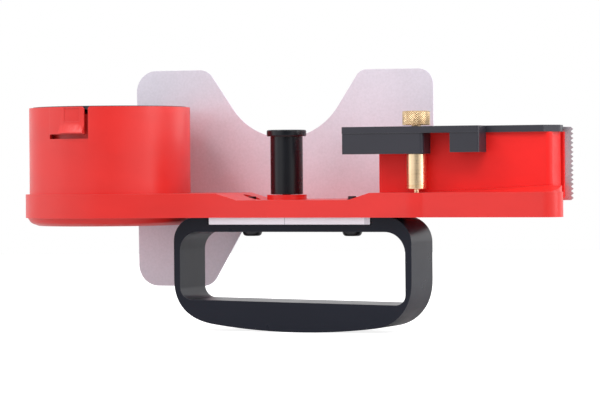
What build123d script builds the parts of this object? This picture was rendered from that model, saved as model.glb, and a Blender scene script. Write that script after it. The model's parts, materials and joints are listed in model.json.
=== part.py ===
from build123d import *
from math import cos, degrees, radians, sin, sqrt
import os

# Hand-held drywall tape dispenser ("banjo" taper).
# Frame: +X towards the nose with the cutter, +Y to the back, +Z up. The origin is where the
# guide roller's axis meets the plane of the tray's underside.

# ---- driving dimensions, mm ----
TRAY_Z = 21.6            # height of the tray's flange
NECK_Z = 15.5            # deck of the neck between drum and box
WALL = 3.0               # moulded wall thickness
GAP = 0.3                # clearance between bodies that move apart

DRUM_X = -176.2          # drum axis
DRUM_R = 74.1            # outside of the drum wall
FLANGE_R = 77.8          # tray edge round the drum
DRUM_TOP = 100.7
PAN_R = 76.0
PAN_BOTTOM = -7.3
STEP_R_HIGH = 131.0      # the deck steps down on an arc round the drum axis
STEP_R_LOW = 150.0

FRONT_Y = -41.0          # front edge of the neck
BOX_EDGE_Y = -37.0       # front edge of the tray under the box
BACK_Y = 77.8            # straight back edge of the tray
NOSE_X = 264.0
RAMP_X = (74.5, 94.2)    # ramp from the neck up to the box flange
SHELF_RISE = 5.6         # height of the sloped shelf at the nose

BOX_LEFT = 94.6
BOX_FRONT = -19.0
BOX_END = 253.5
BOX_BACK = 60.0
BOX_TOP = 73.6
SLANT_A = (236.0, 15.5)  # outer face of the slanted back wall, nose end
SLANT_B = (118.0, BOX_BACK)
END_BACK = 9.5           # the end wall stops here and leaves the tape slot
TONGUE = (255.5, 12.5, 15.5)   # tip X, front Y and back Y of the tear-off tongue

BOX_KNUCKLES = ((-52, -40), (-6, 6), (40, 52))   # along the lid hinge, from its middle
LID_KNUCKLES = ((-39.6, -28), (28, 39.6))
BLADE_SCREW_X = 244.0
BLADE_SCREW_Z = (24, 46, 68)
GATE_SCREW_Y = -8.0
GATE_SCREW_Z = (34, 62)

LID_T = 5.8
LID_TOP = BOX_TOP + LID_T
ARM_X = (68.2, 143.8)
ARM_Y = (-40.0, BOX_FRONT - GAP)
ARM_Z = 55.5
BLOCK_X = (168.4, 195.0)
BLOCK_Z = 56.5
ARM_CORNER = 3.2         # rounding of the right front corner of the arm and of the block
BLOCK_CORNER = 2.0

PLUNGER = (134.4, -29.5)
BARREL_R = 8.6
BARREL_NECK_R = 6.0      # where the barrel goes through the arm
BARREL_LOW = 24.5
SPRING_ROOM = (28.0, 70.0, 4.0)      # heights and radius of the spring's chamber
SPRING_Z = (33.0, 70.0)
SPRING_R = (3.6, 2.7)
PLUNGER_PIN_R = 2.4
PIN_LOW = 19.6
PIN_COLLAR = (30.0, 33.0, 3.9)       # heights and radius of the collar that the spring presses on
KNOB_R = 12.1
KNOB_H = 12.4
KNOB_NECK = (4.1, 1.0)   # radius and height

ROLLER_R = 14.6
ROLLER_FLANGE_R = 17.8
BOSS_R = 17.9
BOSS_Z = 20.0
ROLLER_TOP = 78.3
ROLLER_RIM_Z = 72.7
AXLE_R = 4.0
AXLE_HEAD_R = 7.0
COUNTERBORE = (8.2, 4.6)       # radius and depth in the roller's top

BOLT_X = (-34.0, 62.7)
BOLT_R = 2.0
BOLT_DOME = (8.8, 4.4)   # radius and height of the low domed head
NUT_FLAT = 3.5           # half the distance across the flats
NUT_H = 2.5
WASHER_T = 0.5
NUT_POCKET_R = 8.0
BOLT_BOSS_R = 9.0
BAR_X = (-65.0, 90.0)
BAR_T = 6.5
HANDLE_Y = 28.0          # half depth of the handle
HANDLE_X = (-99.4, 128.5)
HANDLE_SIDE = 6.0
HANDLE_OPEN_TOP = -12.9
HANDLE_OPEN_BOTTOM = (-73.8, -77.3)
HANDLE_LOW = -102.2

PLATE_T = 1.5
PLATE_Y = BACK_Y + 0.2
BLADE_T = 0.8
TOOTH = (4.0, 2.3, 16)   # pitch, depth, count
BLADE_Z = 14.0
BLADE_TIP = 262.9
BLADE_BEND = (251.5, 12.0)     # the toothed strip turns outward here, by this angle

HUB_R = 20.0
HUB_TOP = 71.0
HUB_DISC_R = 44.0
SPINDLE_R = 5.0
EXIT_SLOT = (30.0, 44.0)       # angles of the tape slot in the drum wall
TONGUE_ANGLES = (-111.0, -82.4)
TONGUE_Z = 76.0
SLIT = 3.8
SLIT_LOW = 71.8          # underside of the level part of the slit
WEDGE = (4.0, 76.9, 77.6, 86.4)      # thumb wedge: how far it stands out, its foot, edge and top
WEDGE_ANGLES = (18.6, 0.4)           # back from the tongue's tip
PANEL_Z = (87.2, 99.2)   # sunk panel above the wedge
PANEL_ANGLES = (15.5, 3.4)
POCKET_R = 67.4          # inner wall behind the tongue
DRUM_HINGE_Y = 70.0
DRUM_HINGE_Z = 97.0
DRUM_LUG_X = (16.0, 22.0)      # the drum's hinge lugs, each side of its middle
HINGE_CUT = 40.0         # half length of the lowered wall behind the drum lid
LID_UNDER = 98.0         # underside of the drum lid
HINGE_OFFSET = 4.0       # lid hinge axis outside the slanted wall
HINGE_Z = 76.5
PIN_R = 1.5              # both hinge pins
KNUCKLE_R = 3.5

SCREW_R = 1.5            # self-tapping screws, their heads and clearance holes
SCREW_HEAD = (3.6, 2.4)
SCREW_HOLE = 2.1
SMALL_SCREW_R = 1.25
SINK_R = 2.7             # countersunk head of a plate screw
SINK_DEPTH = 1.3
RIB_T = 2.4
RIB_X = (-78, -56, -12, 14, 40, 84, 112, 160, 185, 210, 235)
RIB_Y = (-29, 0, 29, 52)
KEEPER_R = 2.8           # slot in the tray for the plunger's pin
KEEPER_REACH = 2.4
KEEPER_Z = 12.0

# ---- helpers ----
SLANT_L = sqrt((SLANT_B[0] - SLANT_A[0]) ** 2 + (SLANT_B[1] - SLANT_A[1]) ** 2)
UX = (SLANT_B[0] - SLANT_A[0]) / SLANT_L
UY = (SLANT_B[1] - SLANT_A[1]) / SLANT_L
NX, NY = UY, -UX         # outward normal of the slanted wall
SLANT_MID = ((SLANT_A[0] + SLANT_B[0]) / 2, (SLANT_A[1] + SLANT_B[1]) / 2)
HINGE_MID = (SLANT_MID[0] + NX * HINGE_OFFSET, SLANT_MID[1] + NY * HINGE_OFFSET)


def prism(points, low, high):
    face = make_face(Polyline(*points, close=True))
    return extrude(Pos(0, 0, low) * face, high - low)


def block(x, y, z):
    return Pos(x[0], y[0], z[0]) * Box(x[1] - x[0], y[1] - y[0], z[1] - z[0], align=Align.MIN)


def rod(x, y, low, high, radius):
    return Pos(x, y, low) * Cylinder(radius, high - low, align=(Align.CENTER, Align.CENTER, Align.MIN))


def tube(x, y, low, high, outer, inner):
    return rod(x, y, low, high, outer) - rod(x, y, low - 1, high + 1, inner)


def polar(radius, angle):
    return (DRUM_X + radius * cos(radians(angle)), radius * sin(radians(angle)))


def sector(radius, start, end, low, high):
    """A wedge of a disc about the drum axis."""
    mid = (start + end) / 2
    points = [(DRUM_X, 0)] + [polar(radius / cos(radians((end - start) / 2)), a) for a in (start, mid, end)]
    return prism(points, low, high)


def on_hinge(along, out, up):
    """A point given along, outward of and above the box lid's hinge axis."""
    return (HINGE_MID[0] + UX * along + NX * out, HINGE_MID[1] + UY * along + NY * out, HINGE_Z + up)


def hinge_rod(start, end, radius):
    x, y, z = on_hinge(start, 0, 0)
    plane = Plane(origin=(x, y, z), z_dir=(UX, UY, 0))
    return extrude(plane * Circle(radius), end - start)


def hinge_block(along, out, up):
    corners = [on_hinge(a, o, 0)[:2] for a, o in
               ((along[0], out[0]), (along[1], out[0]), (along[1], out[1]), (along[0], out[1]))]
    return prism(corners, HINGE_Z + up[0], HINGE_Z + up[1])


def screw(x, y, low, high, radius, head_r, head_h):
    """An upright screw with its head underneath."""
    return rod(x, y, low, high, radius) + rod(x, y, low - head_h, low, head_r)


def along_y(x, y, z, radius, length):
    return Pos(x, y, z) * Rot(90, 0, 0) * Cylinder(radius, length)


def along_x(x, y, z, radius, length):
    return Pos(x, y, z) * Rot(0, 90, 0) * Cylinder(radius, length)


def nearest(plan, point):
    """The corner of a plan that lies nearest to a point."""
    return min(plan.vertices(), key=lambda v: (v.X - point[0]) ** 2 + (v.Y - point[1]) ** 2)


def round_corners(plan, corners):
    """Rounds each (x, y, radius) corner of a plan."""
    for x, y, radius in corners:
        plan = fillet(nearest(plan, (x, y)), radius)
    return plan


def group(solids):
    return Compound(children=list(solids))


# ---- tray ----
def tray_outline(inset=0.0):
    """Plan of the tray: drum circle, waisted neck, box flange with a rounded nose."""
    lean = radians(22)
    touch = (DRUM_X + FLANGE_R * sin(lean), -FLANGE_R * cos(lean))
    run = (FRONT_Y - touch[1]) / sin(lean)
    waist = (touch[0] + run * cos(lean), FRONT_Y)
    points = [touch, waist, (132, FRONT_Y), (142, BOX_EDGE_Y), (NOSE_X, BOX_EDGE_Y), (NOSE_X, BOX_FRONT),
              (251, 11.9), (233, 11.9), (121.5, BOX_BACK + 6), (112.5, BACK_Y), (DRUM_X, BACK_Y),
              (DRUM_X, 0)]
    radii = {1: 180, 2: 25, 3: 10, 4: 14}
    plan = make_face(Polyline(*points, close=True))
    plan = round_corners(plan, [(*points[index], radius) for index, radius in radii.items()])
    plan = plan + Pos(DRUM_X, 0) * Circle(FLANGE_R)
    return offset(plan, amount=-inset) if inset else plan


def tray_recess():
    """The lower deck of the neck, cut between the arc step and the ramp."""
    profile = make_face(Polyline((STEP_R_HIGH, TRAY_Z), (STEP_R_LOW, NECK_Z), (500, NECK_Z), (500, 60),
                                 (STEP_R_HIGH, 60), close=True))
    ring = revolve(Plane.XZ * profile, Axis.Z, 360)
    ring = Pos(DRUM_X, 0, 0) * ring
    side = make_face(Polyline((-150, NECK_Z), (RAMP_X[0], NECK_Z), (RAMP_X[1], TRAY_Z), (RAMP_X[1], 50),
                              (-150, 50), close=True))
    slab = extrude(Plane.XZ * side, 200, both=True)
    return ring & slab


def base_tray():
    tray = extrude(tray_outline(), TRAY_Z) - tray_recess()
    inner = tray_outline(WALL)
    pocket = extrude(inner, NECK_Z - WALL)
    under_drum = extrude(inner, TRAY_Z - WALL) & rod(DRUM_X, 0, 0, TRAY_Z, STEP_R_HIGH - 8)
    under_box = extrude(inner, TRAY_Z - WALL) & block((RAMP_X[1] + 2, 300), (-100, 100), (0, TRAY_Z))
    tray = tray - pocket - under_drum - under_box
    half = RIB_T / 2
    ribs = rod(0, 0, 0, NECK_Z - 1, BOLT_BOSS_R)
    for x in BOLT_X:
        ribs = ribs + rod(x, 0, 0, NECK_Z - 1, BOLT_BOSS_R)
    for y in RIB_Y:
        ribs = ribs + block((-98, 260), (y - half, y + half), (0, NECK_Z - 1))
    for x in RIB_X:
        ribs = ribs + block((x - half, x + half), (-60, 90), (0, NECK_Z - 1))
    ribs = ribs + rod(PLUNGER[0], PLUNGER[1], KEEPER_Z - 4, NECK_Z + 4, KEEPER_R + 4)
    ribs = (ribs & extrude(tray_outline(WALL - 0.5), TRAY_Z - 1)) - rod(DRUM_X, 0, -1, TRAY_Z, PAN_R + 0.6)
    tray = tray + ribs + rod(0, 0, NECK_Z - 1, BOSS_Z, BOSS_R)
    tray = tray + rod(DRUM_X, 0, 8, TRAY_Z - 1, 12)
    # the moulded shelf rises from the flange edge to the foot of the box wall
    tray = tray + shelf_wedge()
    # a rebate takes the rim of the round pan
    tray = tray - rod(DRUM_X, 0, -1, 3, PAN_R - WALL + 0.1)
    for x in BOLT_X:
        tray = tray - rod(x, 0, -1, TRAY_Z, BOLT_R + 0.2) - rod(x, 0, NECK_Z, TRAY_Z + 1, NUT_POCKET_R)
    tray = tray - rod(0, 0, -1, TRAY_Z + 1, AXLE_R)
    tray = tray - rod(DRUM_X, 0, -1, TRAY_Z + 1, SPINDLE_R)
    tray = tray - keeper_slot()
    for x, y in drum_screw_places():
        tray = tray - rod(x, y, -1, TRAY_Z + 1, SCREW_HOLE)
    for x, y in box_screw_places():
        tray = tray - rod(x, y, -1, TRAY_Z + 1, SCREW_HOLE)
    for x, z in tray_plate_screws():
        tray = tray + along_y(x, BACK_Y - 9, z, 4.5, 17.8) - along_y(x, BACK_Y - 5, z, SCREW_R, 18)
    return tray


def shelf_wedge():
    """A slope that grows from nothing beside the arm to SHELF_RISE at the nose."""
    front, back, base = BOX_EDGE_Y + 1, BOX_FRONT - 0.4, TRAY_Z - 2
    ends = []
    for x, rise in ((142, 0.05), (BOX_END - 5, SHELF_RISE)):
        plane = Plane(origin=(x, 0, 0), x_dir=(0, 1, 0), z_dir=(1, 0, 0))
        outline = Polyline((front, base), (back, base), (back, TRAY_Z + rise), (front, TRAY_Z), close=True)
        ends.append(plane * make_face(outline))
    return loft(ends, ruled=True) + nose_shelf(front, back, base)


def nose_shelf(front, back, base):
    """The shelf goes on round the nose, past the end of the box."""
    high = TRAY_Z + SHELF_RISE
    outline = Polyline((front, base), (END_BACK, base), (END_BACK, high), (back, high), (front, TRAY_Z),
                       close=True)
    plane = Plane(origin=(BOX_END - 5, 0, 0), x_dir=(0, 1, 0), z_dir=(1, 0, 0))
    shelf = extrude(plane * make_face(outline), 20) & extrude(tray_outline(1.0), high + 1)
    return shelf - block((0, BOX_END + GAP), (back, 40), (0, high + 1))


def keeper_slot():
    """Blind slot that the plunger drops into, long enough for the lid's arc."""
    x, y = PLUNGER
    far_x, far_y = x - NX * KEEPER_REACH, y - NY * KEEPER_REACH
    ax, ay = NY * KEEPER_R, -NX * KEEPER_R
    corners = [(x + ax, y + ay), (far_x + ax, far_y + ay), (far_x - ax, far_y - ay), (x - ax, y - ay)]
    ends = rod(x, y, KEEPER_Z, TRAY_Z + 1, KEEPER_R) + rod(far_x, far_y, KEEPER_Z, TRAY_Z + 1, KEEPER_R)
    return ends + prism(corners, KEEPER_Z, TRAY_Z + 1)


def drum_screw_places():
    return [polar(67.8, angle) for angle in (-135, -45, 55, 135)]


def box_screw_places():
    return [(104, -9), (104, 50), (226, -9), (190, 22)]


def tray_plate_screws():
    return [(-100, 9), (-20, 9), (60, 9)]


def drum_pan():
    profile = [(0, PAN_BOTTOM), (PAN_R - 10, PAN_BOTTOM), (PAN_R - 3, PAN_BOTTOM + 2.6), (PAN_R, 0),
               (PAN_R - WALL, 0), (PAN_R - WALL, 3), (PAN_R - WALL - 2.5, 3), (PAN_R - WALL - 2.5, -0.5),
               (PAN_R - 11, PAN_BOTTOM + 2.5), (0, PAN_BOTTOM + 2.5)]
    face = round_corners(make_face(Polyline(*profile, close=True)), [(PAN_R - 3, PAN_BOTTOM + 2.6, 6)])
    pan = Pos(DRUM_X, 0, 0) * revolve(Plane.XZ * face, Axis.Z, 360)
    for x, y in pan_screw_places():
        pan = pan + rod(x, y, PAN_BOTTOM + 1, TRAY_Z - WALL - 0.02, 4.5)
        pan = pan - rod(x, y, PAN_BOTTOM - 1, TRAY_Z, SCREW_R + 0.3)
        pan = pan - rod(x, y, PAN_BOTTOM - 1, PAN_BOTTOM + 1.6, 4.0)
    return pan


def pan_screw_places():
    return [polar(50, angle) for angle in (-90, 30, 150)]


# ---- drum ----
def drum_slits():
    """L-shaped slit that frees the snap tongue."""
    tip = TONGUE_ANGLES[1]
    slit_deg = degrees(SLIT / DRUM_R)
    upright = sector(DRUM_R + 5, tip, tip + slit_deg, SLIT_LOW, DRUM_TOP + 1)
    level = sector(DRUM_R + 5, TONGUE_ANGLES[0], tip + 1, SLIT_LOW, TONGUE_Z)
    root = sector(DRUM_R + 5, TONGUE_ANGLES[0] - 0.3, TONGUE_ANGLES[0], SLIT_LOW, DRUM_TOP + 1)
    body = sector(DRUM_R + 5, TONGUE_ANGLES[0], tip + 0.5, TONGUE_Z - 1, DRUM_TOP + 1)
    return upright + level + root + body


def tape_drum():
    drum = tube(DRUM_X, 0, TRAY_Z, DRUM_TOP, DRUM_R, DRUM_R - WALL)
    drum = drum - (drum_slits() - rod(DRUM_X, 0, 0, 200, 60))
    slot = sector(DRUM_R + 5, EXIT_SLOT[0], EXIT_SLOT[1], TRAY_Z + 1.5, 84)
    drum = drum - (slot - rod(DRUM_X, 0, 0, 200, 60))
    for x, y in drum_screw_places():
        drum = drum + (rod(x, y, TRAY_Z, TRAY_Z + 14, 4.5) & rod(DRUM_X, 0, 0, 90, DRUM_R - 1))
        drum = drum - rod(x, y, TRAY_Z - 1, TRAY_Z + 11, 1.5)
    drum = drum + tongue_pocket()
    # a ledge carries the lid
    drum = drum + (tube(DRUM_X, 0, 95.9, 97.6, DRUM_R - 1, DRUM_R - WALL - 1.8)
                   - sector(DRUM_R + 5, TONGUE_ANGLES[0] - 3, TONGUE_ANGLES[1] + 6, 90, 105)
                   - block((DRUM_X - 30, DRUM_X + 30), (60, 80), (90, 105)))
    # the wall is lower behind the lid, so that the lid can swing up, with a deeper notch for its knuckle
    inner, outer = DRUM_LUG_X
    drum = drum - block((DRUM_X - HINGE_CUT, DRUM_X + HINGE_CUT), (50, 80), (LID_UNDER - 1.4, DRUM_TOP + 1))
    for side in (-1, 1):
        low, high = sorted((DRUM_X + side * inner, DRUM_X + side * outer))
        drum = drum + block((low, high), (DRUM_HINGE_Y - 4, DRUM_HINGE_Y + 3.2), (88, DRUM_TOP))
    drum = drum - block((DRUM_X - inner, DRUM_X + inner), (62, 80), (DRUM_HINGE_Z - 4, DRUM_TOP + 1))
    drum = drum - drum_hinge_rod(DRUM_X - outer - 1, DRUM_X + outer + 1, PIN_R)
    return round_rim_corner(drum, TONGUE_ANGLES[1] + degrees(SLIT / DRUM_R), 2.2)


def tongue_pocket():
    """Inner wall that closes the slit off from the roll of tape."""
    start, end = TONGUE_ANGLES[0] - 4, TONGUE_ANGLES[1] + 8
    low, high = TONGUE_Z - 9, 94.0
    radius = DRUM_R - WALL
    wall = tube(DRUM_X, 0, low, high, radius + 0.5, POCKET_R - 1.6) & sector(DRUM_R, start, end, low, high)
    hollow = tube(DRUM_X, 0, low + 1.6, high + 1, radius + 1, POCKET_R)
    return wall - (hollow & sector(DRUM_R, start + 1.4, end - 1.4, low, high + 1))


def round_rim_corner(solid, angle, radius):
    """Rounds the corner that the slit leaves in the drum's top rim."""
    x, y = polar(DRUM_R - WALL / 2, angle)
    edge = min(solid.edges(), key=lambda e: (e.center() - Vector(x, y, DRUM_TOP)).length)
    return fillet(edge, radius)


def drum_hinge_rod(start, end, radius):
    return along_x((start + end) / 2, DRUM_HINGE_Y, DRUM_HINGE_Z, radius, end - start)


def drum_hinge_pin():
    reach = DRUM_LUG_X[1]
    return drum_hinge_rod(DRUM_X - reach, DRUM_X + reach, PIN_R)


def snap_tongue():
    """Spring tongue with a thumb wedge; its free end faces the slit."""
    tip = TONGUE_ANGLES[1]
    ring = tube(DRUM_X, 0, TONGUE_Z, DRUM_TOP, DRUM_R, DRUM_R - WALL + 0.4)
    tongue = ring & sector(DRUM_R + 6, TONGUE_ANGLES[0], tip, TONGUE_Z, DRUM_TOP)
    reach, foot, edge, top = WEDGE
    wedge_profile = make_face(Polyline((DRUM_R - 1, top), (DRUM_R + reach, edge), (DRUM_R + reach, foot),
                                       (DRUM_R - 1, foot), close=True))
    wedge = Pos(DRUM_X, 0, 0) * revolve(Plane.XZ * wedge_profile, Axis.Z, 360)
    wedge = wedge & sector(DRUM_R + 9, tip - WEDGE_ANGLES[0], tip - WEDGE_ANGLES[1], 60, DRUM_TOP)
    panel = tube(DRUM_X, 0, *PANEL_Z, DRUM_R + 1, DRUM_R - 0.5)
    panel = panel & sector(DRUM_R + 9, tip - PANEL_ANGLES[0], tip - PANEL_ANGLES[1], 60, DRUM_TOP)
    return round_rim_corner(tongue + wedge - panel, tip, 3.0)


def drum_lid():
    """Shallow disc with a rim, a knuckle at the back and a finger dish at the front."""
    top, skin = DRUM_TOP + 0.7, DRUM_TOP - 1.6
    half = DRUM_LUG_X[0] - 2
    disc = rod(DRUM_X, 0, LID_UNDER, top, DRUM_R - WALL - 0.5)
    disc = disc - rod(DRUM_X, 0, LID_UNDER - 1, skin, DRUM_R - WALL - 4)
    disc = disc - block((DRUM_X - 24, DRUM_X + 24), (DRUM_HINGE_Y - 8, 90), (90, 110))
    web = block((DRUM_X - half, DRUM_X + half), (DRUM_HINGE_Y - 10, DRUM_HINGE_Y), (skin, top))
    knuckle = drum_hinge_rod(DRUM_X - half, DRUM_X + half, 3.0)
    link = block((DRUM_X - half, DRUM_X + half), (DRUM_HINGE_Y - 2.5, DRUM_HINGE_Y + 2.5),
                 (DRUM_HINGE_Z, top))
    finger = rod(DRUM_X + 10, -50, DRUM_TOP - 0.6, DRUM_TOP + 2, 9)
    lid = disc + web + knuckle + link - finger
    return lid - drum_hinge_rod(DRUM_X - 23, DRUM_X + 23, PIN_R + 0.05)


def tape_hub():
    low = TRAY_Z + 0.4
    hub = rod(DRUM_X, 0, low, TRAY_Z + 1.8, HUB_DISC_R)
    hub = hub + tube(DRUM_X, 0, TRAY_Z + 1.8, HUB_TOP, HUB_R, HUB_R - 2.5)
    hub = hub + rod(DRUM_X, 0, low, TRAY_Z + 8, 9) + rod(DRUM_X, 0, HUB_TOP - 4, HUB_TOP, HUB_R - 1)
    fin_low = TRAY_Z + 8
    for angle in (0, 60, 120):
        fin = Box(2 * HUB_R - 2, 2, HUB_TOP - fin_low)
        hub = hub + Pos(DRUM_X, 0, (fin_low + HUB_TOP) / 2) * Rot(0, 0, angle) * fin
    return hub - rod(DRUM_X, 0, TRAY_Z - 1, HUB_TOP + 1, SPINDLE_R + 0.06)


def reel_spindle():
    return screw(DRUM_X, 0, 8, HUB_TOP + 9, SPINDLE_R, 9, 4)


def spindle_knob():
    return tube(DRUM_X, 0, HUB_TOP + 0.4, HUB_TOP + 8, 10, SPINDLE_R)


# ---- roller and handle ----
def guide_roller():
    low = BOSS_Z + 0.4
    body = rod(0, 0, low, ROLLER_TOP, ROLLER_R) + rod(0, 0, ROLLER_RIM_Z, ROLLER_TOP, ROLLER_FLANGE_R)
    radius, depth = COUNTERBORE
    body = body - rod(0, 0, ROLLER_TOP - depth, ROLLER_TOP + 1, radius)
    return body - rod(0, 0, low - 1, ROLLER_TOP, AXLE_R + 0.06)


def roller_axle():
    head = ROLLER_TOP - COUNTERBORE[1] + 0.4
    axle = rod(0, 0, 0.5, head, AXLE_R) + rod(0, 0, head, ROLLER_TOP - 0.6, AXLE_HEAD_R)
    socket = extrude(Pos(0, 0, ROLLER_TOP - 3) * RegularPolygon(2.9, 6), 4)
    return axle - socket


def handle_profile():
    """Front view of the closed loop, in X and Z."""
    left, right = HANDLE_X
    edges = ThreePointArc((-58, -96.3), (20, HANDLE_LOW), (92, -98.2))
    edges = edges + Spline((92, -98.2), (118, -86), (right, -56), tangents=((1, 0.1), (0, 1)))
    edges = edges + Polyline((right, -56), (right, 0), (left, 0), (left, -56))
    edges = edges + Spline((left, -56), (-90.5, -82), (-58, -96.3), tangents=((0, -1), (1, -0.12)))
    outer = make_face(edges)
    return round_corners(outer, ((left, 0, 21), (right, 0, 23)))


def handle_opening():
    left, right = HANDLE_X[0] + HANDLE_SIDE, HANDLE_X[1] - HANDLE_SIDE
    low_left, low_right = HANDLE_OPEN_BOTTOM
    corners = ((left, HANDLE_OPEN_TOP, 17), (right, HANDLE_OPEN_TOP, 19),
               (right, low_right, 9), (left, low_left, 11))
    return round_corners(make_face(Polyline(*[(x, z) for x, z, _ in corners], close=True)), corners)


def handle_loop():
    loop = handle_profile() - handle_opening()
    body = extrude(Plane.XZ * loop, HANDLE_Y, both=True)
    body = body - block((BAR_X[0] - 1, BAR_X[1] + 1.4), (-40, 40), (-BAR_T - 0.02, 1))
    for x in BOLT_X:
        body = body - rod(x, 0, -30, 1, BOLT_R + 0.2)
    return body


def mount_bar():
    bar = block(BAR_X, (-HANDLE_Y + 0.4, HANDLE_Y - 0.4), (-BAR_T, 0))
    for x in BOLT_X:
        bar = bar - rod(x, 0, -30, 1, BOLT_R + 0.2)
    return bar


def handle_bolts():
    radius, height = BOLT_DOME
    sphere_r = (radius ** 2 + height ** 2) / (2 * height)
    low = HANDLE_OPEN_TOP - height
    bolts = []
    for x in BOLT_X:
        dome = (Pos(x, 0, low + sphere_r) * Sphere(sphere_r)) & rod(x, 0, low, HANDLE_OPEN_TOP, radius)
        socket = extrude(Pos(x, 0, low - 1) * RegularPolygon(2.3, 6), 3.4)
        bolts.append(dome + rod(x, 0, HANDLE_OPEN_TOP - 0.5, NECK_Z + WASHER_T + NUT_H, BOLT_R) - socket)
    return group(bolts)


def nut_washers():
    return group([tube(x, 0, NECK_Z, NECK_Z + WASHER_T, NUT_FLAT + 1, BOLT_R + 0.2) for x in BOLT_X])


def handle_nuts():
    nuts = []
    for x in BOLT_X:
        hexagon = RegularPolygon(NUT_FLAT, 6, major_radius=False)
        body = extrude(Pos(x, 0, NECK_Z + WASHER_T) * hexagon, NUT_H)
        nuts.append(body - rod(x, 0, 0, 40, BOLT_R))
    return group(nuts)


# ---- guard plate ----
def guard_plate():
    """Sheet with two shoulders, a U between them and one lobe hanging at the drum end."""
    points = [(-185.3, 137), (-184.0, -66.4), (-108.7, -66.4), (-67.6, 2), (112.5, 2), (112.5, 133.9),
              (41.7, 134.4), (-32.6, 22.5), (-111.5, 136.8)]
    radii = (20, 20, 17, None, None, 14, 12, 63.5, 16)
    rounds = [(*point, radius) for point, radius in zip(points, radii) if radius]
    plan = round_corners(make_face(Polyline(*points, close=True)), rounds)
    plate = extrude(Plane(origin=(0, PLATE_Y, 0), x_dir=(1, 0, 0), z_dir=(0, -1, 0)) * plan, -PLATE_T)
    for x, z in tray_plate_screws():
        plate = plate - sunk_head(x, z, 0.1) - along_y(x, PLATE_Y, z, SCREW_R + 0.1, 10)
    return plate


def sunk_head(x, z, extra=0.0):
    """The cone of a countersunk head, flush with the plate's back."""
    place = Pos(x, PLATE_Y + PLATE_T - SINK_DEPTH / 2, z) * Rot(90, 0, 0)
    return place * Cone(SINK_R + extra, SCREW_R + extra, SINK_DEPTH)


def plate_screws():
    back = PLATE_Y + PLATE_T
    screws = []
    for x, z in tray_plate_screws():
        shank = along_y(x, back - SINK_DEPTH - 5.5, z, SCREW_R, 11.1)
        cross = Pos(x, back, z) * (Box(0.8, 1.6, 3.2) + Box(3.2, 1.6, 0.8))
        screws.append(shank + sunk_head(x, z) - cross)
    return group(screws)


# ---- compound box ----
def box_plan(inset=0.0):
    """Outer or inner outline of the wedge-shaped box."""
    points = [(BOX_LEFT + inset, BOX_FRONT + inset), (BOX_END - inset, BOX_FRONT + inset),
              (BOX_END - inset, 7 + inset * 0.2)]
    back = BOX_BACK - inset
    shift = (SLANT_A[0] - NX * inset, SLANT_A[1] - NY * inset)
    reach = (back - shift[1]) / UY
    points = points + [shift, (shift[0] + UX * reach, back), (BOX_LEFT + inset, back)]
    return make_face(Polyline(*points, close=True))


def compound_box():
    rounds = ((BOX_LEFT, BOX_FRONT, 4), (BOX_END, BOX_FRONT, 5), (BOX_LEFT, BOX_BACK, 4))
    outer = round_corners(box_plan(), rounds)
    box = extrude(Pos(0, 0, TRAY_Z) * outer, BOX_TOP - TRAY_Z)
    inner = extrude(Pos(0, 0, TRAY_Z + 2.5) * box_plan(WALL), BOX_TOP)
    tip, front, back = TONGUE
    # straight tape passage at the nose, then the tongue behind it
    passage = block((228, 300), (END_BACK, front), (TRAY_Z + 2.5, BOX_TOP + 1))
    behind = block((BOX_END - WALL - 0.5, 300), (END_BACK, 40), (TRAY_Z - 1, BOX_TOP + 1))
    room = block((236, BOX_END - WALL), (0, front), (TRAY_Z + 2.5, BOX_TOP + 1))
    box = box + block((BOX_END - WALL, BOX_END), (5, END_BACK), (TRAY_Z, BOX_TOP))
    box = box - inner - room - passage - behind
    box = box + block((226, tip), (front, back), (TRAY_Z, BOX_TOP))
    box = box + block((236, tip), (front, back), (BLADE_Z + 1.7, TRAY_Z + 1))
    # entry slot for the tape in the left wall
    box = box - block((BOX_LEFT - 1, BOX_LEFT + WALL + 1), (-4, 0), (TRAY_Z + 2.5, BOX_TOP + 1))
    for x, y in box_screw_places():
        box = box + rod(x, y, TRAY_Z, TRAY_Z + 12, 4) - rod(x, y, TRAY_Z - 1, TRAY_Z + 9.5, SCREW_R)
    for span in BOX_KNUCKLES:
        box = box + hinge_block(span, (-HINGE_OFFSET, 0), (-16, -2.9))
        box = box + hinge_block(span, (-KNUCKLE_R, KNUCKLE_R), (-16, 0))
        box = box - hinge_block(span, (-7, -KNUCKLE_R - 0.1), (-2.9, 9))
        box = box + hinge_rod(*span, KNUCKLE_R)
    box = box - hinge_rod(-53, 53, PIN_R)
    for z in BLADE_SCREW_Z:
        box = box - along_y(BLADE_SCREW_X, back, z, SMALL_SCREW_R, 8)
    for z in GATE_SCREW_Z:
        box = box - along_x(BOX_END - WALL, GATE_SCREW_Y, z, SMALL_SCREW_R, 4.4)
    return box


def hinge_pin():
    return hinge_rod(-52, 52, PIN_R)


def lid_plan():
    """The lid's edge: long front straight over the arm, step back, chamfered nose, slanted back."""
    hinge_edge = HINGE_OFFSET - 0.1 + 0.6
    near = on_hinge(-62, -hinge_edge, 0)[:2]
    far_y = BOX_BACK
    far = on_hinge(0, -hinge_edge, 0)[:2]
    reach = (far_y - far[1]) / UY
    points = [(ARM_X[0], ARM_Y[0]), (BLOCK_X[1], ARM_Y[0]), (BLOCK_X[1], BOX_FRONT - 2.2),
              (248, BOX_FRONT - 3), (259.4, -10), (256.5, 7.5), (250, 11.5), near,
              (far[0] + UX * reach, far_y),
              (BOX_LEFT - 1.5, far_y), (BOX_LEFT - 1.5, BOX_FRONT), (ARM_X[0], BOX_FRONT - GAP)]
    rounds = ((ARM_X[0], ARM_Y[0], 1.5), (BLOCK_X[1], ARM_Y[0], BLOCK_CORNER), (259.4, -10, 4),
              (BOX_LEFT - 1.5, far_y, 4))
    return round_corners(make_face(Polyline(*points, close=True)), rounds)


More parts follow.
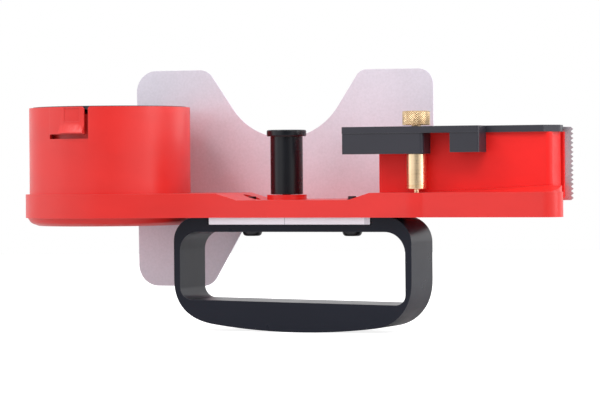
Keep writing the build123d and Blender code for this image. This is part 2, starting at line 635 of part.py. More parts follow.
def box_lid():
    lid = extrude(Pos(0, 0, BOX_TOP) * lid_plan(), LID_T)
    lid = lid + under_lid((ARM_X[0] + 0.5, ARM_X[1]), ARM_Z, ARM_CORNER)
    lid = lid + under_lid(BLOCK_X, BLOCK_Z, BLOCK_CORNER)
    for span in LID_KNUCKLES:
        lid = lid + hinge_rod(*span, KNUCKLE_R) + hinge_block(span, (-HINGE_OFFSET - 2, 0), (-2.9, 2.9))
    lid = lid - hinge_rod(-53, 53, PIN_R + 0.05)
    return lid - rod(PLUNGER[0], PLUNGER[1], ARM_Z - 5, LID_TOP + 5, BARREL_NECK_R)


def under_lid(x, low, corner):
    """A block under the lid's front edge, with its right front corner rounded."""
    front, back = ARM_Y[0] + 0.6, ARM_Y[1]
    plan = make_face(Polyline((x[0], front), (x[1], front), (x[1], back), (x[0], back), close=True))
    plan = round_corners(plan, [(x[1], front, corner)])
    return extrude(Pos(0, 0, low) * plan, BOX_TOP + 1 - low)


def plunger_barrel():
    x, y = PLUNGER
    barrel = rod(x, y, BARREL_LOW, ARM_Z, BARREL_R) + rod(x, y, ARM_Z, LID_TOP, BARREL_NECK_R)
    barrel = barrel - rod(x, y, *SPRING_ROOM)
    return barrel - rod(x, y, BARREL_LOW - 1, LID_TOP + 1, PLUNGER_PIN_R + 0.05)


def plunger_pin():
    x, y = PLUNGER
    pin = rod(x, y, PIN_LOW, LID_TOP + 9, PLUNGER_PIN_R) + rod(x, y, *PIN_COLLAR)
    return pin - block((x - 0.45, x + 0.45), (y - 4, y + 4), (PIN_LOW - 1, PIN_LOW + 1.2))


def plunger_spring():
    return tube(*PLUNGER, *SPRING_Z, *SPRING_R)


def plunger_knob():
    x, y = PLUNGER
    neck_r, neck_h = KNOB_NECK
    low = LID_TOP + neck_h
    knob = rod(x, y, low, low + KNOB_H, KNOB_R) + rod(x, y, LID_TOP + 0.05, low, neck_r)
    return knob - rod(x, y, LID_TOP - 1, LID_TOP + 9, PLUNGER_PIN_R)


def exit_gate():
    """Steel plate that sets how much compound leaves with the tape."""
    gate = block((BOX_END - WALL - 1.7, BOX_END - WALL - 0.2), (-13.5, 10.3), (TRAY_Z + 3, BOX_TOP - 0.6))
    for z in GATE_SCREW_Z:
        gate = gate - block((240, 260), (GATE_SCREW_Y - 3.1, GATE_SCREW_Y + 3.5), (z - 1.6, z + 1.6))
    return gate


def gate_screws():
    screws = []
    for z in GATE_SCREW_Z:
        head = along_x(BOX_END - WALL - 3.0, GATE_SCREW_Y, z, 3.2, 2.2)
        screws.append(head + along_x(BOX_END - WALL + 0.05, GATE_SCREW_Y, z, SMALL_SCREW_R, 4.1))
    return group(screws)


def entry_wiper():
    """Rubber lips on the inside of the tape entry."""
    x = BOX_LEFT + WALL
    lips = block((x, x + 1.5), (-12, -2.3), (TRAY_Z + 3, BOX_TOP - 1))
    return group([lips, block((x, x + 1.5), (-1.7, 8), (TRAY_Z + 3, BOX_TOP - 1))])


def cutter_blade():
    """Flat strip behind the tongue, with a toothed strip that turns outward."""
    pitch, depth, count = TOOTH
    back = TONGUE[2]
    bend_x, turn = BLADE_BEND
    top = BLADE_Z + count * pitch
    root = BLADE_TIP - bend_x - depth
    points = [(0, BLADE_Z), (root, BLADE_Z)]
    for tooth in range(count):
        low = BLADE_Z + tooth * pitch
        points += [(root + depth, low + pitch / 2), (root, low + pitch)]
    points.append((0, top))
    toothed = extrude(Plane.XZ * make_face(Polyline(*points, close=True)), -BLADE_T)
    blade = Pos(bend_x, back, 0) * Rot(0, 0, turn) * toothed
    blade = blade + block((238, bend_x), (back, back + BLADE_T), (BLADE_Z, top))
    for z in BLADE_SCREW_Z:
        blade = blade - along_y(BLADE_SCREW_X, back, z, SCREW_HOLE - 0.4, 8)
    return blade


def blade_clamp():
    back = TONGUE[2] + BLADE_T
    clamp = block((238, 250), (back, back + 2), (BLADE_Z + 2, BLADE_Z + 61))
    for z in BLADE_SCREW_Z:
        clamp = clamp - along_y(BLADE_SCREW_X, back, z, SCREW_HOLE - 0.4, 8)
    return clamp


def blade_screws():
    back = TONGUE[2] + BLADE_T + 2
    screws = []
    for z in BLADE_SCREW_Z:
        screw_body = along_y(BLADE_SCREW_X, back + 1, z, 3.2, 2)
        screw_body = screw_body + along_y(BLADE_SCREW_X, back - 2.6, z, SMALL_SCREW_R, 5.2)
        screws.append(screw_body - Pos(BLADE_SCREW_X, back + 2, z) * Box(6, 1, 0.9))
    return group(screws)


def drum_screws():
    low = TRAY_Z - WALL - 0.6
    return group([screw(x, y, low, TRAY_Z + 10, SCREW_R, *SCREW_HEAD) for x, y in drum_screw_places()])


def box_screws():
    low = TRAY_Z - WALL - 0.6
    return group([screw(x, y, low, TRAY_Z + 8.5, SCREW_R, *SCREW_HEAD) for x, y in box_screw_places()])


def pan_screws():
    low, high = PAN_BOTTOM + 1.6, TRAY_Z - WALL - 1
    return group([screw(x, y, low, high, SCREW_R, 3.4, 1.4) for x, y in pan_screw_places()])


PARTS = (
    base_tray, drum_pan, tape_drum, snap_tongue, drum_lid, tape_hub, reel_spindle, spindle_knob,
    guide_roller, roller_axle, handle_loop, mount_bar, handle_bolts, nut_washers, handle_nuts,
    guard_plate, plate_screws, compound_box, hinge_pin, box_lid, plunger_barrel, plunger_pin,
    plunger_spring, plunger_knob, exit_gate, gate_screws, entry_wiper, cutter_blade, blade_clamp,
    blade_screws, drum_screws, box_screws, pan_screws, drum_hinge_pin,
)

os.makedirs("parts", exist_ok=True)
for make in PARTS:
    export_step(make(), f"parts/{make.__name__}.step")
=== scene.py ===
import json
import math

import bmesh
import bpy
from mathutils import Matrix, Vector


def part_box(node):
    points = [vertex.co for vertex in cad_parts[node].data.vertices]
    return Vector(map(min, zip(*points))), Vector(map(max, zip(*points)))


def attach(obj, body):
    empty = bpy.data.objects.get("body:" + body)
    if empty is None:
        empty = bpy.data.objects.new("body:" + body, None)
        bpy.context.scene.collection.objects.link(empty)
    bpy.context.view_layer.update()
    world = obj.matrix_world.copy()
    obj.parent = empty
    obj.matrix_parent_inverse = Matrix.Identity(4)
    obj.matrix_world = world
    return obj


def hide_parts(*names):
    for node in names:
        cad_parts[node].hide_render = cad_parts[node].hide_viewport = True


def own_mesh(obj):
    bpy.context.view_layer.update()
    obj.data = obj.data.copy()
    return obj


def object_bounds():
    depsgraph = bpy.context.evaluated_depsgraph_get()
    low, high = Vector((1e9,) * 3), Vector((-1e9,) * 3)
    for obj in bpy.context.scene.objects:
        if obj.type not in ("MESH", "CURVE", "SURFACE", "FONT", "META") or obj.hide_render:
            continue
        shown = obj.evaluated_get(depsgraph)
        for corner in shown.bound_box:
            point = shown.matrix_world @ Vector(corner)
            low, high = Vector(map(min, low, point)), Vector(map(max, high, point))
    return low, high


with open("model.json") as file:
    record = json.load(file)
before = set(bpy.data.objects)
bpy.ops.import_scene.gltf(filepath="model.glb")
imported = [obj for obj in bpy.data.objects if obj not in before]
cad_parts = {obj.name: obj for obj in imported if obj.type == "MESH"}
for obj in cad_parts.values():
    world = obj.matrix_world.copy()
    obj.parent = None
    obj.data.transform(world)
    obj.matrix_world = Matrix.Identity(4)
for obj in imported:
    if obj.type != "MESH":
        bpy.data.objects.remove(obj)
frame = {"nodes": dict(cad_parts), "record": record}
CAD_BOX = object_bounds()
NODES = frame["nodes"]
BEHAVIOUR = frame["record"]["behaviour"]
SLOTS = {part["node"]: part["material_slot"] for part in frame["record"]["subparts"]}
BODY = {node: body for body, nodes in BEHAVIOUR["bodies"].items() for node in nodes}

MM = 0.001

# Details of single pieces; lengths in metres
BAR_DARK_LINE = 0.0088                # X of the thin dark line across the aluminium bar
BAR_DARK_LINE_HALF = 0.0004           # half of that line's width
BAR_END = 0.0845                 # X where the bar's darker end starts
KNURL_AROUND = 34                # diamonds round the plunger's knob
KNURL_PITCH = 0.00185            # height of a diamond
KNURL_TOP = 0.0117               # from the knob's top down to where the rows start
ROOT_ANGLE = math.radians(-111.0)    # where the snap tongue grows out of the drum's wall, seen from above

# Mesh settings
WELD = 2e-6                      # vertices closer than this are one
FLAT = math.radians(0.4)         # faces that turn less than this are one
SHARP = math.radians(30.0)       # edges that turn more than this are rounded off
SMOOTH = math.radians(40.0)      # edges that turn less than this are shaded smooth
AXIS_HOLE = 0.001                # radius in mm left open at the middle of a solid turned piece

# Materials
GRAIN = 900.0                    # noise scale of ordinary moulded grain, per metre
MIX_FIRST, MIX_SECOND, MIX_RESULT = 6, 7, 2    # colour sockets of a mix node
WHITE = (1.0, 1.0, 1.0, 1.0)

# Stage
VIEW_YAW = math.radians(22.0)    # turn of the camera about Z, its roll, and where it stands
VIEW_ROLL = math.radians(0.45)
EYE = (0.9588, -2.3413, 0.0412)
TENT = 1.10                      # brightness of the white tent, and of its gap round the camera
TENT_GAP = 0.10
FLOOR_RADIUS = 2.4


# ---- sizes from the frame ----
def middle(node):
    """X and Y of the middle of a node's box."""
    low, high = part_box(node)
    return ((low.x + high.x) / 2, (low.y + high.y) / 2)


def turned_size(node):
    """Radius, bottom and top of an upright turned node, in mm."""
    low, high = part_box(node)
    return (high.x - low.x) / 2 / MM, low.z / MM, high.z / MM


# ---- shader helpers ----
def new_material(name):
    material = bpy.data.materials.new(name)
    material.use_nodes = True
    tree = material.node_tree
    return material, tree, tree.nodes["Principled BSDF"]


def add(tree, kind, **values):
    """A node with its sockets and settings filled in by name."""
    node = tree.nodes.new(kind)
    for key, value in values.items():
        if key in node.inputs:
            node.inputs[key].default_value = value
        else:
            setattr(node, key, value)
    return node


def place(tree):
    """Object coordinates, which stay with the piece."""
    return add(tree, "ShaderNodeTexCoord").outputs["Object"]


def noise(tree, scale, detail=3.0, roughness=0.55, stretch=None):
    """A 0-1 factor; a larger stretch along an axis makes the pattern finer that way."""
    node = add(tree, "ShaderNodeTexNoise", Scale=scale, Detail=detail, Roughness=roughness)
    source = place(tree)
    if stretch:
        mapping = add(tree, "ShaderNodeMapping", Scale=stretch)
        tree.links.new(source, mapping.inputs["Vector"])
        source = mapping.outputs["Vector"]
    tree.links.new(source, node.inputs["Vector"])
    return node.outputs["Fac"]


def ramp(tree, factor, low, high, start=0.0, end=1.0):
    """A colour that goes from low to high as factor goes from start to end."""
    node = add(tree, "ShaderNodeValToRGB")
    stops = node.color_ramp.elements
    stops[0].position, stops[1].position = start, end
    stops[0].color, stops[1].color = low, high
    tree.links.new(factor, node.inputs["Fac"])
    return node.outputs["Color"]


def spread(tree, factor, low, high, start=0.3, end=0.7):
    """A number that goes from low to high as factor goes from start to end."""
    node = add(tree, "ShaderNodeMapRange")
    for name, value in (("From Min", start), ("From Max", end), ("To Min", low), ("To Max", high)):
        node.inputs[name].default_value = value
    tree.links.new(factor, node.inputs["Value"])
    return node.outputs["Result"]


def math_node(tree, operation, *values):
    """The result of an operation on numbers and sockets."""
    node = add(tree, "ShaderNodeMath", operation=operation)
    for index, value in enumerate(values):
        if isinstance(value, (int, float)):
            node.inputs[index].default_value = value
        else:
            tree.links.new(value, node.inputs[index])
    return node.outputs["Value"]


def painted_edge_highlight(tree, size):
    """1 along edges, 0 on flat faces, from how far a bevelled normal turns; it marks where a highlight is
    painted on edges.
    """
    bevel = add(tree, "ShaderNodeBevel", samples=4, Radius=size)
    flat = add(tree, "ShaderNodeNewGeometry").outputs["Normal"]
    dot = add(tree, "ShaderNodeVectorMath", operation="DOT_PRODUCT")
    tree.links.new(bevel.outputs["Normal"], dot.inputs[0])
    tree.links.new(flat, dot.inputs[1])
    return spread(tree, dot.outputs["Value"], low=1.0, high=0.0, start=0.86, end=1.0)


def bump(tree, shader, height, strength, distance):
    node = add(tree, "ShaderNodeBump", Strength=strength, Distance=distance)
    tree.links.new(height, node.inputs["Height"])
    tree.links.new(node.outputs["Normal"], shader.inputs["Normal"])


def paint_over(tree, factor, color):
    """Lays a colour over the one that the shader has already, as far as factor says."""
    base = tree.nodes["Principled BSDF"].inputs["Base Color"]
    mix = add(tree, "ShaderNodeMix", data_type="RGBA")
    tree.links.new(factor, mix.inputs["Factor"])
    tree.links.new(base.links[0].from_socket, mix.inputs[MIX_FIRST])
    mix.inputs[MIX_SECOND].default_value = color
    tree.links.new(mix.outputs[MIX_RESULT], base)


def shade(color, factor):
    """An opaque colour, made lighter or darker."""
    return tuple(min(1.0, channel * factor) for channel in color) + (1.0,)


def paler(color):
    """An opaque colour, moved a little towards white, for painted edge highlights."""
    return tuple(channel * 0.92 + 0.05 for channel in color) + (1.0,)


# ---- materials ----
def moulded_plastic(name, color, rough, grain=GRAIN, depth=0.10, specular=0.5):
    """Injection-moulded plastic: faint flow mottling, satin grain and a painted highlight along its edges.
    """
    material, tree, shader = new_material(name)
    flow = noise(tree, 14.0, 2.0, 0.5, stretch=(1.0, 1.0, 2.2))
    body = ramp(tree, flow, shade(color, 0.95), shade(color, 1.05), 0.3, 0.7)
    tree.links.new(body, shader.inputs["Base Color"])
    # painted highlight: every edge is mixed towards a paler colour
    paint_over(tree, math_node(tree, "MULTIPLY", painted_edge_highlight(tree, 0.9 * MM), 0.6), paler(color))
    smear = noise(tree, 38.0, 4.0)
    tree.links.new(spread(tree, smear, rough * 0.9, rough * 1.12), shader.inputs["Roughness"])
    bump(tree, shader, noise(tree, grain, 3.0, 0.6), depth, 0.06 * MM)
    shader.inputs["Specular IOR Level"].default_value = specular
    return material


def satin_metal(name, color, rough, stretch=None, grain=700.0, depth=0.12, metallic=1.0):
    """Rolled or ground metal with a fine grain, which stretch makes directional, and soft stains."""
    material, tree, shader = new_material(name)
    lines = noise(tree, grain, 4.0, 0.6, stretch=stretch)
    stains = noise(tree, 16.0, 3.0)
    fine = math_node(tree, "MULTIPLY", lines, 0.6)
    broad = math_node(tree, "MULTIPLY", stains, 0.4)
    tone = ramp(tree, math_node(tree, "ADD", fine, broad), shade(color, 0.9), shade(color, 1.06), 0.3, 0.7)
    tree.links.new(tone, shader.inputs["Base Color"])
    tree.links.new(spread(tree, lines, rough * 0.85, rough * 1.15), shader.inputs["Roughness"])
    shader.inputs["Metallic"].default_value = metallic
    bump(tree, shader, lines, depth, 0.04 * MM)
    return material


def turned_brass(name, rough):
    """Brass with faint lathe rings and a little tarnish in patches."""
    material, tree, shader = new_material(name)
    rings = noise(tree, 60.0, 3.0, 0.6, stretch=(0.3, 0.3, 40.0))
    tarnish = noise(tree, 90.0, 4.0)
    color = ramp(tree, tarnish, (0.82, 0.61, 0.37, 1), (0.92, 0.71, 0.45, 1), 0.3, 0.62)
    tree.links.new(color, shader.inputs["Base Color"])
    tree.links.new(spread(tree, rings, rough * 0.85, rough * 1.15), shader.inputs["Roughness"])
    shader.inputs["Metallic"].default_value = 1.0
    bump(tree, shader, rings, 0.05, 0.03 * MM)
    return material


def diamonds(tree, centre, around, pitch):
    """1 along the crossing grooves of a diamond knurl about a vertical axis, 0 on its points."""
    parts = add(tree, "ShaderNodeSeparateXYZ")
    tree.links.new(place(tree), parts.inputs[0])
    x, y, z = (math_node(tree, "SUBTRACT", parts.outputs[i], centre[i]) for i in range(3))
    across = math_node(tree, "MULTIPLY", math_node(tree, "ARCTAN2", y, x), around / (2 * math.pi))
    up = math_node(tree, "DIVIDE", z, pitch)
    grooves = []
    for operation in ("ADD", "SUBTRACT"):
        wave = math_node(tree, "PINGPONG", math_node(tree, operation, across, up), 0.5)
        grooves.append(math_node(tree, "SUBTRACT", 1.0, math_node(tree, "MULTIPLY", wave, 2.0)))
    return math_node(tree, "MAXIMUM", *grooves)


def knurled_brass(name):
    """Brass with painted shade in the grooves of its knurl."""
    material = turned_brass(name, 0.30)
    tree = material.node_tree
    x, y = middle("plunger_knob")
    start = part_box("plunger_knob")[1].z - KNURL_TOP
    groove = diamonds(tree, (x, y, start), KNURL_AROUND, KNURL_PITCH)
    groove_shade = spread(tree, groove, low=0.0, high=0.9, start=0.48, end=0.88)
    # painted shade: the knurl's grooves are mixed towards a dark brown
    paint_over(tree, groove_shade, (0.31, 0.19, 0.09, 1.0))
    return material


def marked_bar(name):
    """Milled aluminium bar with a thin dark line across it and a darker end."""
    material = satin_metal(name, (0.90, 0.85, 0.91), 0.36, stretch=(0.4, 6.0, 6.0))
    tree = material.node_tree
    parts = add(tree, "ShaderNodeSeparateXYZ")
    tree.links.new(place(tree), parts.inputs[0])
    along = parts.outputs["X"]
    dark_line = math_node(tree, "MULTIPLY", math_node(tree, "COMPARE", along, BAR_DARK_LINE, BAR_DARK_LINE_HALF), 0.5)
    end = math_node(tree, "MULTIPLY", math_node(tree, "GREATER_THAN", along, BAR_END), 0.4)
    # a thin dark line across the bar and a darker end, mixed into its colour
    paint_over(tree, math_node(tree, "MAXIMUM", dark_line, end), (0.30, 0.29, 0.33, 1.0))
    return material


def rubber(name):
    """Dull black rubber with a fine grain."""
    material, tree, shader = new_material(name)
    fine = noise(tree, GRAIN, 3.0)
    tone = ramp(tree, fine, (0.02, 0.02, 0.02, 1), (0.035, 0.035, 0.034, 1))
    tree.links.new(tone, shader.inputs["Base Color"])
    tree.links.new(spread(tree, fine, 0.65, 0.85), shader.inputs["Roughness"])
    bump(tree, shader, fine, 0.2, 0.08 * MM)
    return material


def make_materials():
    """Every material, by its slot, or by its node where the piece has a finish of its own."""
    tray_red = (0.70, 0.021, 0.017)
    # painted light: the box is the tray's red plastic, painted lighter to stand in for light on the wall
    # the lid shades
    box_red_lit = (0.84, 0.018, 0.016)
    lid_black = (0.026, 0.026, 0.036)
    handle_black = (0.0135, 0.0155, 0.0245)
    roller_black = (0.004, 0.005, 0.008)
    plate = (0.755, 0.72, 0.805)
    blade = (0.80, 0.72, 0.77)
    upright = (6.0, 6.0, 0.5)
    return {
        "red_plastic": moulded_plastic("red_plastic", tray_red, 0.36),
        # painted light: a lighter, less glossy copy of the tray's red, for the box wall under the lid
        "compound_box": moulded_plastic("red_box_lit", box_red_lit, 0.42, specular=0.2),
        "black_plastic": moulded_plastic("black_plastic", lid_black, 0.42, depth=0.12, specular=0.45),
        "handle_black": moulded_plastic("handle_black", handle_black, 0.30, 1300.0, 0.08, 0.15),
        "roller_black": moulded_plastic("roller_black", roller_black, 0.26, 600.0, 0.04, 0.36),
        "hub_grey": moulded_plastic("hub_grey", (0.22, 0.22, 0.23), 0.5, depth=0.12),
        "brass": turned_brass("brass", 0.30),
        "plunger_knob": knurled_brass("knurled_brass"),
        "aluminium": marked_bar("aluminium"),
        "plate": satin_metal("plate", plate, 0.5, grain=420.0, depth=0.2, metallic=0.35),
        "blade_steel": satin_metal("blade_steel", blade, 0.30, upright, grain=800.0, depth=0.03),
        "steel": satin_metal("steel", (0.62, 0.62, 0.64), 0.28),
        "black_steel": satin_metal("black_steel", (0.05, 0.05, 0.055), 0.35),
        "rubber": rubber("rubber"),
    }


MATERIALS = make_materials()


def look(node):
    """A node's material: its own finish where it has one, or else its slot's."""
    return MATERIALS.get(node, MATERIALS[SLOTS[node]])


# ---- geometry helpers ----
def new_piece(bm, node):
    """The piece that a bmesh makes in place of a CAD node, with the node's body and material."""
    bmesh.ops.recalc_face_normals(bm, faces=bm.faces)
    mesh = bpy.data.meshes.new(node + "_skin")
    bm.to_mesh(mesh)
    bm.free()
    mesh.materials.clear()
    mesh.materials.append(look(node))
    mesh.shade_smooth()
    mesh.set_sharp_from_angle(angle=SMOOTH)
    piece = bpy.data.objects.new(node + "_skin", mesh)
    bpy.context.scene.collection.objects.link(piece)
    weighted = piece.modifiers.new("weighted_normals", "WEIGHTED_NORMAL")
    weighted.keep_sharp = True
    weighted.weight = 80
    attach(piece, BODY[node])
    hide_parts(node)
    return piece


def is_sharp(edge):
    return len(edge.link_faces) == 2 and edge.calc_face_angle(0) > SHARP


def softened(node, width, keep=None, change=None):
    """A copy of a CAD node with its edges rounded off by a width in mm.

    Edges where keep(edge) is true stay as they are, and change(bm) may alter the copy beforehand."""
    bm = bmesh.new()
    bm.from_mesh(NODES[node].data)
    bmesh.ops.remove_doubles(bm, verts=bm.verts, dist=WELD)
    bmesh.ops.dissolve_limit(bm, angle_limit=FLAT, verts=bm.verts, edges=bm.edges)
    if change:
        change(bm)
    edges = [edge for edge in bm.edges if is_sharp(edge) and not (keep and keep(edge))]
    bmesh.ops.bevel(bm, geom=edges, offset=width * MM, segments=2, profile=0.6, affect="EDGES",
                    clamp_overlap=True, miter_outer="ARC")
    new_piece(bm, node)


def spin(bm, profile, centre, steps, bumps=None):
    """Adds a turned solid about a vertical axis, from (radius, height) points in mm that form a loop.

    bumps(angle, height) is added to the radius of the points that have a third value."""
    rings = []
    for step in range(steps):
        angle = 2 * math.pi * step / steps
        ring = []
        for radius, height, *bumpy in profile:
            reach = (radius + (bumps(angle, height) if bumpy else 0.0)) * MM
            x, y = centre[0] + reach * math.cos(angle), centre[1] + reach * math.sin(angle)
            ring.append(bm.verts.new((x, y, height * MM)))
        rings.append(ring)
    for step in range(steps):
        here, there = rings[step], rings[(step + 1) % steps]
        for i in range(len(profile)):
            j = (i + 1) % len(profile)
            bm.faces.new((here[i], there[i], there[j], here[j]))


def lathe(node, profile, centres, steps=96, bumps=None):
    """A turned piece in place of a node, once at each centre."""
    bm = bmesh.new()
    for centre in centres:
        spin(bm, profile, centre, steps, bumps)
    new_piece(bm, node)


def rounded(corner_r, corner_z, radius, start, end, steps):
    """Points of a rounded corner, centred at (corner_r, corner_z), from one angle to another in degrees."""
    points = []
    for step in range(steps + 1):
        angle = math.radians(start + (end - start) * step / steps)
        points.append((corner_r + radius * math.cos(angle), corner_z + radius * math.sin(angle)))
    return points


# ---- pieces that are built anew ----
def knurled_knob():
    """Thumb knob with a diamond knurl between two plain chamfers, and a shallow dish on top."""
    radius, bottom, top = turned_size("plunger_knob")
    neck, bore, chamfer = 4.1, 2.4, 0.7
    shoulder_in, shoulder_down = 0.25, 0.45
    dish_rim, dish_floor, dish_depth = radius - 3.2, radius - 3.8, 0.5
    depth, smooth_share, steps = 0.6, 0.35, 6
    start, end = top - KNURL_TOP / MM, top - chamfer
    skirt = top - 12.4

    def knurl(angle, height):
        across = angle * KNURL_AROUND / (2 * math.pi)
        up = (height - start) * MM / KNURL_PITCH
        groove = max(abs(2 * (wave % 1.0) - 1) for wave in (across + up, across - up))
        return -depth * max(0.0, (groove - smooth_share) / (1 - smooth_share))

    profile = [(bore, bottom), (neck, bottom), (neck, skirt), (radius - chamfer, skirt)]
    profile.append((radius - shoulder_in, skirt + shoulder_down))
    count = round((end - start) * MM / KNURL_PITCH * steps)
    for i in range(count + 1):
        profile.append((radius, start + (end - start) * i / count, "knurled"))
    profile += [(radius - shoulder_in, top - shoulder_down), (radius - chamfer, top), (dish_rim, top)]
    profile += [(dish_floor, top - dish_depth), (bore, top - dish_depth)]
    lathe("plunger_knob", profile, [middle("plunger_knob")], KNURL_AROUND * steps, knurl)


def turned_roller():
    """Guide roller: long drum, rounded rim and a counterbore for the axle's head."""
    rim, bottom, top = turned_size("guide_roller")
    body, rim_low, edge, fillet, chamfer = 14.6, top - 5.6, 1.3, 0.6, 0.5
    bore, recess, mouth, recess_floor = 4.06, 8.2, 8.9, top - 4.6
    profile = [(bore, bottom), (body - chamfer, bottom), (body, bottom + chamfer), (body, rim_low - fillet)]
    profile += rounded(body + fillet, rim_low - fillet, fillet, 180, 90, 3)[1:]
    profile += rounded(rim - edge, rim_low + edge * 0.7, edge, -60, 0, 3)
    profile += rounded(rim - edge, top - edge, edge, 0, 90, 4)
    profile += [(mouth, top), (recess, top - 0.6), (recess, recess_floor), (bore, recess_floor)]
    lathe("guide_roller", profile, [middle("guide_roller")], 128)


def turned_barrel():
    """Plunger barrel with a rolled lower lip, a groove near it and a chamfered mouth."""
    radius, bottom, top = turned_size("plunger_barrel")
    shoulder, neck, bore, lip = 55.5, 6.0, 2.45, 0.8
    groove, groove_low, groove_high = radius - 0.25, bottom + 2.6, bottom + 3.4
    profile = [(bore, bottom + 0.6), (bore + 0.6, bottom), (radius - 1.0, bottom)]
    profile += rounded(radius - lip, bottom + lip, lip, -75, 0, 4)
    profile += [(radius, groove_low), (groove, groove_low + 0.2), (groove, groove_high - 0.2)]
    profile += [(radius, groove_high), (radius, shoulder - 0.4), (radius - 0.4, shoulder), (neck, shoulder)]
    profile += [(neck, top - 0.3), (neck - 0.3, top), (bore, top)]
    lathe("plunger_barrel", profile, [middle("plunger_barrel")])


def dome_bolts():
    """The handle's two bolts: a low button head with a socket, and a plain shank."""
    low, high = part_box("handle_bolts")
    head = (high.y - low.y) / 2 / MM
    bottom, top = low.z / MM, high.z / MM
    seat, rim, dome, chamfer = bottom + 4.4, 1.2, 3.2, 0.4
    shank, socket, socket_floor, tip = 2.0, 2.4, bottom + 2.2, bottom + 2.4
    profile = [(AXIS_HOLE, tip), (socket, socket_floor), (socket, bottom + 0.1), (socket + 0.1, bottom)]
    profile += rounded(head - dome - 0.2, bottom + dome, dome, -88, -18, 6)
    profile += [(head, seat - rim), (head, seat), (shank, seat), (shank, top - chamfer)]
    profile += [(shank - chamfer, top), (AXIS_HOLE, top)]
    half = head * MM
    lathe("handle_bolts", profile, [(low.x + half, 0.0), (high.x - half, 0.0)], 64)


def coil_spring():
    """The plunger's spring as a wound wire with crowded ends."""
    low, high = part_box("plunger_spring")
    wire, turns, per_turn, sides, crowding = 0.42 * MM, 11, 28, 10, 0.1
    radius = (high.x - low.x) / 2 - wire
    length = high.z - low.z
    x, y = middle("plunger_spring")
    bm = bmesh.new()
    rings = []
    for step in range(turns * per_turn + 1):
        share = step / (turns * per_turn)
        angle = 2 * math.pi * turns * share
        rise = share - math.sin(2 * math.pi * share) * crowding
        z = low.z + wire + (length - 2 * wire) * rise
        ring = []
        for side in range(sides):
            turn = 2 * math.pi * side / sides
            reach = radius + wire * math.cos(turn)
            point = (x + reach * math.cos(angle), y + reach * math.sin(angle), z + wire * math.sin(turn))
            ring.append(bm.verts.new(point))
        rings.append(ring)
    for here, there in zip(rings, rings[1:]):
        for side in range(sides):
            other = (side + 1) % sides
            bm.faces.new((here[side], here[other], there[other], there[side]))
    bm.faces.new(rings[0])
    bm.faces.new(rings[-1])
    spring = new_piece(bm, "plunger_spring")
    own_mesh(spring)


# ---- the drum's wall and its snap tongue, which are moulded in one ----
DRUM_CENTRE = middle("spindle_knob")


def drum_angle(point):
    return math.atan2(point.y - DRUM_CENTRE[1], point.x - DRUM_CENTRE[0])


def at_root(edge):
    """True for edges at the snap tongue's root, which stay sharp so that it runs on into the wall."""
    reach = math.radians(1.2)
    return all(abs(drum_angle(v.co) - ROOT_ANGLE) < reach and v.co.y < 0 for v in edge.verts)


def join_root(bm):
    """Carries the tongue's root across its clearance, so that no gap shows."""
    turn = Matrix.Rotation(math.radians(-0.32), 3, "Z")
    centre = Vector((DRUM_CENTRE[0], DRUM_CENTRE[1], 0.0))
    for v in bm.verts:
        if drum_angle(v.co) < ROOT_ANGLE + math.radians(0.1):
            v.co = turn @ (v.co - centre) + centre


# Widths of the rounded edges, in mm
BEVELS = {
    "base_tray": 0.5, "drum_pan": 0.5, "drum_lid": 0.4, "tape_hub": 0.3, "spindle_knob": 0.5,
    "roller_axle": 0.3, "handle_loop": 1.0, "mount_bar": 0.3, "nut_washers": 0.1, "handle_nuts": 0.35,
    "guard_plate": 0.25, "plate_screws": 0.1, "compound_box": 0.4, "box_lid": 0.5, "plunger_pin": 0.15,
    "exit_gate": 0.15, "cutter_blade": 0.08, "blade_clamp": 0.3, "blade_screws": 0.2, "drum_screws": 0.3,
    "box_screws": 0.3, "pan_screws": 0.3, "reel_spindle": 0.4, "gate_screws": 0.2,
}

for node, width in BEVELS.items():
    softened(node, width)
softened("tape_drum", 0.5, keep=at_root)
softened("snap_tongue", 0.3, keep=at_root, change=join_root)
knurled_knob()
turned_roller()
turned_barrel()
dome_bolts()
coil_spring()
for node in NODES:
    if not NODES[node].hide_render:
        data = NODES[node].data
        data.materials.clear()
        data.materials.append(look(node))


# ---- stage, camera and light ----
def floor(height):
    """A disc that looks white to the camera, and is a mid grey to every other ray."""
    bm = bmesh.new()
    bmesh.ops.create_circle(bm, cap_ends=True, radius=FLOOR_RADIUS, segments=96)
    mesh = bpy.data.meshes.new("floor_mesh")
    bm.to_mesh(mesh)
    bm.free()
    material, tree, shader = new_material("pale_floor")
    tone = ramp(tree, noise(tree, 2.0, 2.0), (0.52, 0.52, 0.52, 1), (0.55, 0.55, 0.55, 1))
    tree.links.new(tone, shader.inputs["Base Color"])
    shader.inputs["Roughness"].default_value = 0.9
    shader.inputs["Emission Color"].default_value = WHITE
    seen = add(tree, "ShaderNodeLightPath").outputs["Is Camera Ray"]
    glow = spread(tree, seen, low=0.05, high=0.85, start=0.0, end=1.0)
    tree.links.new(glow, shader.inputs["Emission Strength"])
    mesh.materials.append(material)
    disc = bpy.data.objects.new("floor", mesh)
    disc.location.z = height
    bpy.context.scene.collection.objects.link(disc)


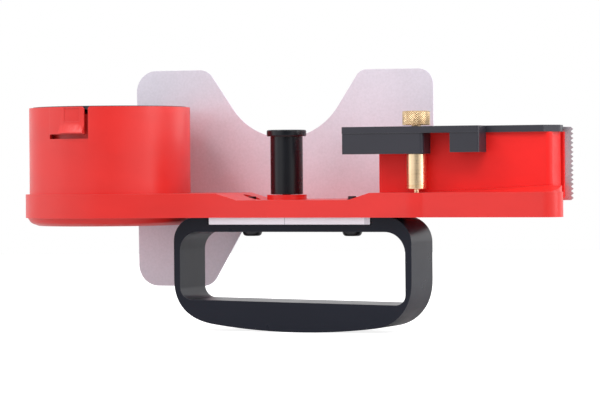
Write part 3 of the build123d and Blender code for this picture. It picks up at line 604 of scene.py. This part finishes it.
def world_light():
    """White to the camera, and a soft tent to everything else, dimmer where the camera stands."""
    world = bpy.data.worlds.new("studio")
    bpy.context.scene.world = world
    world.use_nodes = True
    tree = world.node_tree
    tree.nodes.clear()
    dot = add(tree, "ShaderNodeVectorMath", operation="DOT_PRODUCT")
    tree.links.new(add(tree, "ShaderNodeTexCoord").outputs["Generated"], dot.inputs[0])
    dot.inputs[1].default_value = (math.sin(VIEW_YAW), -math.cos(VIEW_YAW), 0.0)
    dome = add(tree, "ShaderNodeBackground", Color=(1.0, 0.99, 1.0, 1.0))
    dim = spread(tree, dot.outputs["Value"], low=TENT, high=TENT_GAP, start=0.80, end=0.985)
    tree.links.new(dim, dome.inputs["Strength"])
    white = add(tree, "ShaderNodeBackground", Color=WHITE, Strength=1.0)
    mix = add(tree, "ShaderNodeMixShader")
    out = add(tree, "ShaderNodeOutputWorld")
    tree.links.new(add(tree, "ShaderNodeLightPath").outputs["Is Camera Ray"], mix.inputs["Fac"])
    tree.links.new(dome.outputs[0], mix.inputs[1])
    tree.links.new(white.outputs[0], mix.inputs[2])
    tree.links.new(mix.outputs[0], out.inputs["Surface"])


def softbox(name, azimuth, elevation, distance, size, power):
    """An area light aimed at the object; azimuth 0 is beside the camera."""
    yaw, pitch = math.radians(azimuth) + VIEW_YAW, math.radians(elevation)
    centre = (CAD_BOX[0] + CAD_BOX[1]) / 2
    back = Vector((math.sin(yaw) * math.cos(pitch), -math.cos(yaw) * math.cos(pitch), math.sin(pitch)))
    light = bpy.data.lights.new(name, "AREA")
    light.shape = "RECTANGLE"
    light.size, light.size_y = size
    light.energy = power
    lamp = bpy.data.objects.new(name, light)
    lamp.location = centre + back * distance
    lamp.rotation_mode = "QUATERNION"
    lamp.rotation_quaternion = (-back).to_track_quat("-Z", "Y")
    bpy.context.scene.collection.objects.link(lamp)


def camera():
    """A long lens in front of the object, a little above the tray's underside."""
    data = bpy.data.cameras.new("camera")
    data.sensor_width = 36.0
    data.lens = 168.7
    data.shift_y = -0.0483
    data.clip_start, data.clip_end = 0.05, 200.0
    cam = bpy.data.objects.new("camera", data)
    cam.location = EYE
    cam.rotation_euler = (math.radians(90.0), VIEW_ROLL, VIEW_YAW)
    bpy.context.scene.collection.objects.link(cam)
    bpy.context.scene.camera = cam


# Name, azimuth and elevation in degrees, distance and (width, height) in metres, power in watts
LIGHTS = (
    ("left_box", -84, 12, 1.5, (0.9, 1.2), 1.7),
    ("right_box", 68, 15, 1.5, (0.55, 1.0), 5.6),
    ("key_right", 20, 46, 1.4, (0.8, 0.4), 5.0),
    ("key_left", -62, 52, 1.4, (0.36, 0.3), 4.0),
    ("back_box", 118, 20, 1.8, (0.9, 1.2), 5.0),
)

floor(CAD_BOX[0].z)
world_light()
for light in LIGHTS:
    softbox(*light)
camera()
bpy.context.scene.view_settings.view_transform = "Standard"
